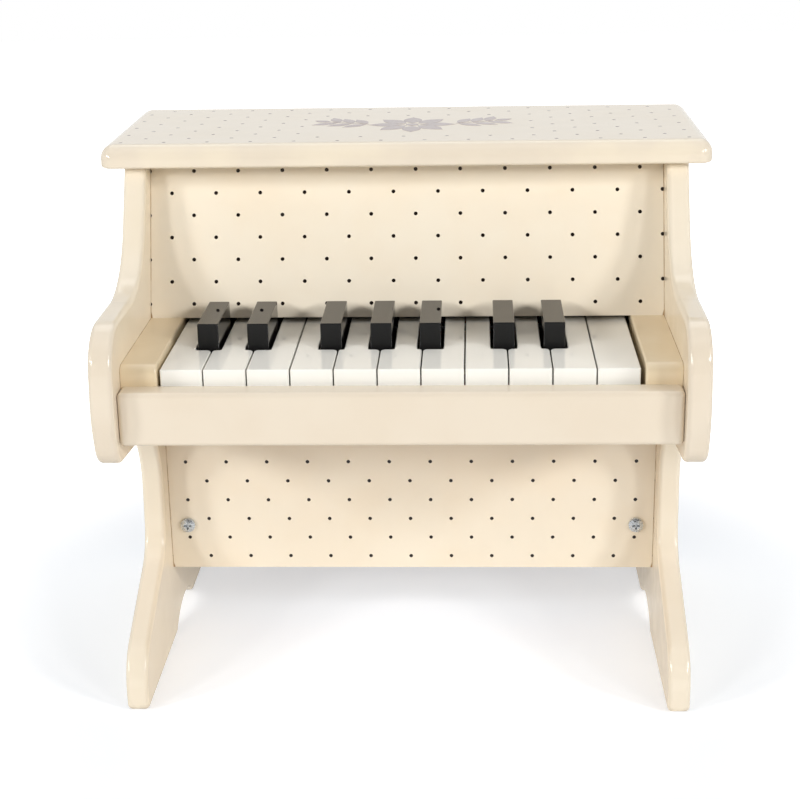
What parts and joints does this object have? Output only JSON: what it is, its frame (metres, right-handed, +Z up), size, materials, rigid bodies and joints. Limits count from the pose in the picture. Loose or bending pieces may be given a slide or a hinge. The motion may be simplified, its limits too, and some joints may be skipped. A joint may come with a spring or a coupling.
{
  "type": "toy piano",
  "caption": "Small upright toy piano with a leaning dotted front panel, rounded arms and hinged keys that lift hammers to strike tone bars.",
  "frame": {"origin": "on the floor, under the middle of the piano's box", "axes": "+X to the right along the keyboard, +Y from the keys to the back, +Z up"},
  "size_m": [0.3212, 0.2392, 0.2875],
  "materials": {
    "cream_paint": "satin cream paint",
    "bare_wood": "sanded, bare",
    "hardboard": "smooth, pressed",
    "felt": "felted",
    "steel": "drawn",
    "zinc": "zinc plated",
    "bar_metal": "brushed",
    "white_gloss": "gloss",
    "black_gloss": "gloss",
    "hammer_plastic": "matt"
  },
  "bodies": {
    "case": {"left_side": "cream_paint", "right_side": "cream_paint", "lid": "cream_paint", "upper_panel": "cream_paint", "lower_panel": "cream_paint", "front_rail": "cream_paint", "left_key_block": "cream_paint", "right_key_block": "cream_paint", "lower_panel_cleats": "bare_wood", "key_bed": "bare_wood", "lid_cleats": "bare_wood", "tone_bar_front_rail": "bare_wood", "tone_bar_rear_rail": "bare_wood", "back_panel": "hardboard", "key_stop_felt": "felt", "key_rest_strip": "felt", "tone_bar_felts": "felt", "key_pivot_rod": "steel", "hammer_rod": "steel", "tone_bar_pins": "steel", "lower_panel_screws": "zinc", "back_panel_screws": "zinc", "tone_bars": "bar_metal"},
    "white_key_1": {"white_key_1": "white_gloss"},
    "hammer_1": {"hammer_1": "hammer_plastic"},
    "black_key_1": {"black_key_1": "black_gloss"},
    "hammer_2": {"hammer_2": "hammer_plastic"},
    "white_key_2": {"white_key_2": "white_gloss"},
    "hammer_3": {"hammer_3": "hammer_plastic"},
    "black_key_2": {"black_key_2": "black_gloss"},
    "hammer_4": {"hammer_4": "hammer_plastic"},
    "white_key_3": {"white_key_3": "white_gloss"},
    "hammer_5": {"hammer_5": "hammer_plastic"},
    "white_key_4": {"white_key_4": "white_gloss"},
    "hammer_6": {"hammer_6": "hammer_plastic"},
    "black_key_3": {"black_key_3": "black_gloss"},
    "hammer_7": {"hammer_7": "hammer_plastic"},
    "white_key_5": {"white_key_5": "white_gloss"},
    "hammer_8": {"hammer_8": "hammer_plastic"},
    "black_key_4": {"black_key_4": "black_gloss"},
    "hammer_9": {"hammer_9": "hammer_plastic"},
    "white_key_6": {"white_key_6": "white_gloss"},
    "hammer_10": {"hammer_10": "hammer_plastic"},
    "black_key_5": {"black_key_5": "black_gloss"},
    "hammer_11": {"hammer_11": "hammer_plastic"},
    "white_key_7": {"white_key_7": "white_gloss"},
    "hammer_12": {"hammer_12": "hammer_plastic"},
    "white_key_8": {"white_key_8": "white_gloss"},
    "hammer_13": {"hammer_13": "hammer_plastic"},
    "black_key_6": {"black_key_6": "black_gloss"},
    "hammer_14": {"hammer_14": "hammer_plastic"},
    "white_key_9": {"white_key_9": "white_gloss"},
    "hammer_15": {"hammer_15": "hammer_plastic"},
    "black_key_7": {"black_key_7": "black_gloss"},
    "hammer_16": {"hammer_16": "hammer_plastic"},
    "white_key_10": {"white_key_10": "white_gloss"},
    "hammer_17": {"hammer_17": "hammer_plastic"},
    "white_key_11": {"white_key_11": "white_gloss"},
    "hammer_18": {"hammer_18": "hammer_plastic"}
  },
  "joints": [
    {"name": "white_key_1_hinge", "type": "hinge", "parent": "case", "child": "white_key_1", "pos_m": [0, 0.0021, 0.1855], "axis": [1, 0, 0], "range_deg": [0, 4], "stiffness_Nm_per_rad": 0.06, "springref_deg": -20.05},
    {"name": "hammer_1_hinge", "type": "hinge", "parent": "case", "child": "hammer_1", "pos_m": [0, 0.0901, 0.2057], "axis": [1, 0, 0], "range_deg": [-10.7, 0]},
    {"name": "black_key_1_hinge", "type": "hinge", "parent": "case", "child": "black_key_1", "pos_m": [0, 0.0021, 0.1855], "axis": [1, 0, 0], "range_deg": [0, 4], "stiffness_Nm_per_rad": 0.06, "springref_deg": -20.05},
    {"name": "hammer_2_hinge", "type": "hinge", "parent": "case", "child": "hammer_2", "pos_m": [0, 0.0901, 0.2057], "axis": [1, 0, 0], "range_deg": [-10.7, 0]},
    {"name": "white_key_2_hinge", "type": "hinge", "parent": "case", "child": "white_key_2", "pos_m": [0, 0.0021, 0.1855], "axis": [1, 0, 0], "range_deg": [0, 4], "stiffness_Nm_per_rad": 0.06, "springref_deg": -20.05},
    {"name": "hammer_3_hinge", "type": "hinge", "parent": "case", "child": "hammer_3", "pos_m": [0, 0.0901, 0.2057], "axis": [1, 0, 0], "range_deg": [-10.7, 0]},
    {"name": "black_key_2_hinge", "type": "hinge", "parent": "case", "child": "black_key_2", "pos_m": [0, 0.0021, 0.1855], "axis": [1, 0, 0], "range_deg": [0, 4], "stiffness_Nm_per_rad": 0.06, "springref_deg": -20.05},
    {"name": "hammer_4_hinge", "type": "hinge", "parent": "case", "child": "hammer_4", "pos_m": [0, 0.0901, 0.2057], "axis": [1, 0, 0], "range_deg": [-10.7, 0]},
    {"name": "white_key_3_hinge", "type": "hinge", "parent": "case", "child": "white_key_3", "pos_m": [0, 0.0021, 0.1855], "axis": [1, 0, 0], "range_deg": [0, 4], "stiffness_Nm_per_rad": 0.06, "springref_deg": -20.05},
    {"name": "hammer_5_hinge", "type": "hinge", "parent": "case", "child": "hammer_5", "pos_m": [0, 0.0901, 0.2057], "axis": [1, 0, 0], "range_deg": [-10.7, 0]},
    {"name": "white_key_4_hinge", "type": "hinge", "parent": "case", "child": "white_key_4", "pos_m": [0, 0.0021, 0.1855], "axis": [1, 0, 0], "range_deg": [0, 4], "stiffness_Nm_per_rad": 0.06, "springref_deg": -20.05},
    {"name": "hammer_6_hinge", "type": "hinge", "parent": "case", "child": "hammer_6", "pos_m": [0, 0.0901, 0.2057], "axis": [1, 0, 0], "range_deg": [-10.7, 0]},
    {"name": "black_key_3_hinge", "type": "hinge", "parent": "case", "child": "black_key_3", "pos_m": [0, 0.0021, 0.1855], "axis": [1, 0, 0], "range_deg": [0, 4], "stiffness_Nm_per_rad": 0.06, "springref_deg": -20.05},
    {"name": "hammer_7_hinge", "type": "hinge", "parent": "case", "child": "hammer_7", "pos_m": [0, 0.0901, 0.2057], "axis": [1, 0, 0], "range_deg": [-10.7, 0]},
    {"name": "white_key_5_hinge", "type": "hinge", "parent": "case", "child": "white_key_5", "pos_m": [0, 0.0021, 0.1855], "axis": [1, 0, 0], "range_deg": [0, 4], "stiffness_Nm_per_rad": 0.06, "springref_deg": -20.05},
    {"name": "hammer_8_hinge", "type": "hinge", "parent": "case", "child": "hammer_8", "pos_m": [0, 0.0901, 0.2057], "axis": [1, 0, 0], "range_deg": [-10.7, 0]},
    {"name": "black_key_4_hinge", "type": "hinge", "parent": "case", "child": "black_key_4", "pos_m": [0, 0.0021, 0.1855], "axis": [1, 0, 0], "range_deg": [0, 4], "stiffness_Nm_per_rad": 0.06, "springref_deg": -20.05},
    {"name": "hammer_9_hinge", "type": "hinge", "parent": "case", "child": "hammer_9", "pos_m": [0, 0.0901, 0.2057], "axis": [1, 0, 0], "range_deg": [-10.7, 0]},
    {"name": "white_key_6_hinge", "type": "hinge", "parent": "case", "child": "white_key_6", "pos_m": [0, 0.0021, 0.1855], "axis": [1, 0, 0], "range_deg": [0, 4], "stiffness_Nm_per_rad": 0.06, "springref_deg": -20.05},
    {"name": "hammer_10_hinge", "type": "hinge", "parent": "case", "child": "hammer_10", "pos_m": [0, 0.0901, 0.2057], "axis": [1, 0, 0], "range_deg": [-10.7, 0]},
    {"name": "black_key_5_hinge", "type": "hinge", "parent": "case", "child": "black_key_5", "pos_m": [0, 0.0021, 0.1855], "axis": [1, 0, 0], "range_deg": [0, 4], "stiffness_Nm_per_rad": 0.06, "springref_deg": -20.05},
    {"name": "hammer_11_hinge", "type": "hinge", "parent": "case", "child": "hammer_11", "pos_m": [0, 0.0901, 0.2057], "axis": [1, 0, 0], "range_deg": [-10.7, 0]},
    {"name": "white_key_7_hinge", "type": "hinge", "parent": "case", "child": "white_key_7", "pos_m": [0, 0.0021, 0.1855], "axis": [1, 0, 0], "range_deg": [0, 4], "stiffness_Nm_per_rad": 0.06, "springref_deg": -20.05},
    {"name": "hammer_12_hinge", "type": "hinge", "parent": "case", "child": "hammer_12", "pos_m": [0, 0.0901, 0.2057], "axis": [1, 0, 0], "range_deg": [-10.7, 0]},
    {"name": "white_key_8_hinge", "type": "hinge", "parent": "case", "child": "white_key_8", "pos_m": [0, 0.0021, 0.1855], "axis": [1, 0, 0], "range_deg": [0, 4], "stiffness_Nm_per_rad": 0.06, "springref_deg": -20.05},
    {"name": "hammer_13_hinge", "type": "hinge", "parent": "case", "child": "hammer_13", "pos_m": [0, 0.0901, 0.2057], "axis": [1, 0, 0], "range_deg": [-10.7, 0]},
    {"name": "black_key_6_hinge", "type": "hinge", "parent": "case", "child": "black_key_6", "pos_m": [0, 0.0021, 0.1855], "axis": [1, 0, 0], "range_deg": [0, 4], "stiffness_Nm_per_rad": 0.06, "springref_deg": -20.05},
    {"name": "hammer_14_hinge", "type": "hinge", "parent": "case", "child": "hammer_14", "pos_m": [0, 0.0901, 0.2057], "axis": [1, 0, 0], "range_deg": [-10.7, 0]},
    {"name": "white_key_9_hinge", "type": "hinge", "parent": "case", "child": "white_key_9", "pos_m": [0, 0.0021, 0.1855], "axis": [1, 0, 0], "range_deg": [0, 4], "stiffness_Nm_per_rad": 0.06, "springref_deg": -20.05},
    {"name": "hammer_15_hinge", "type": "hinge", "parent": "case", "child": "hammer_15", "pos_m": [0, 0.0901, 0.2057], "axis": [1, 0, 0], "range_deg": [-10.7, 0]},
    {"name": "black_key_7_hinge", "type": "hinge", "parent": "case", "child": "black_key_7", "pos_m": [0, 0.0021, 0.1855], "axis": [1, 0, 0], "range_deg": [0, 4], "stiffness_Nm_per_rad": 0.06, "springref_deg": -20.05},
    {"name": "hammer_16_hinge", "type": "hinge", "parent": "case", "child": "hammer_16", "pos_m": [0, 0.0901, 0.2057], "axis": [1, 0, 0], "range_deg": [-10.7, 0]},
    {"name": "white_key_10_hinge", "type": "hinge", "parent": "case", "child": "white_key_10", "pos_m": [0, 0.0021, 0.1855], "axis": [1, 0, 0], "range_deg": [0, 4], "stiffness_Nm_per_rad": 0.06, "springref_deg": -20.05},
    {"name": "hammer_17_hinge", "type": "hinge", "parent": "case", "child": "hammer_17", "pos_m": [0, 0.0901, 0.2057], "axis": [1, 0, 0], "range_deg": [-10.7, 0]},
    {"name": "white_key_11_hinge", "type": "hinge", "parent": "case", "child": "white_key_11", "pos_m": [0, 0.0021, 0.1855], "axis": [1, 0, 0], "range_deg": [0, 4], "stiffness_Nm_per_rad": 0.06, "springref_deg": -20.05},
    {"name": "hammer_18_hinge", "type": "hinge", "parent": "case", "child": "hammer_18", "pos_m": [0, 0.0901, 0.2057], "axis": [1, 0, 0], "range_deg": [-10.7, 0]}
  ],
  "couplings": [
    {"joint": "hammer_1_hinge", "follows": "white_key_1_hinge", "ratio": -2.65},
    {"joint": "hammer_2_hinge", "follows": "black_key_1_hinge", "ratio": -2.65},
    {"joint": "hammer_3_hinge", "follows": "white_key_2_hinge", "ratio": -2.65},
    {"joint": "hammer_4_hinge", "follows": "black_key_2_hinge", "ratio": -2.65},
    {"joint": "hammer_5_hinge", "follows": "white_key_3_hinge", "ratio": -2.65},
    {"joint": "hammer_6_hinge", "follows": "white_key_4_hinge", "ratio": -2.65},
    {"joint": "hammer_7_hinge", "follows": "black_key_3_hinge", "ratio": -2.65},
    {"joint": "hammer_8_hinge", "follows": "white_key_5_hinge", "ratio": -2.65},
    {"joint": "hammer_9_hinge", "follows": "black_key_4_hinge", "ratio": -2.65},
    {"joint": "hammer_10_hinge", "follows": "white_key_6_hinge", "ratio": -2.65},
    {"joint": "hammer_11_hinge", "follows": "black_key_5_hinge", "ratio": -2.65},
    {"joint": "hammer_12_hinge", "follows": "white_key_7_hinge", "ratio": -2.65},
    {"joint": "hammer_13_hinge", "follows": "white_key_8_hinge", "ratio": -2.65},
    {"joint": "hammer_14_hinge", "follows": "black_key_6_hinge", "ratio": -2.65},
    {"joint": "hammer_15_hinge", "follows": "white_key_9_hinge", "ratio": -2.65},
    {"joint": "hammer_16_hinge", "follows": "black_key_7_hinge", "ratio": -2.65},
    {"joint": "hammer_17_hinge", "follows": "white_key_10_hinge", "ratio": -2.65},
    {"joint": "hammer_18_hinge", "follows": "white_key_11_hinge", "ratio": -2.65}
  ]
}
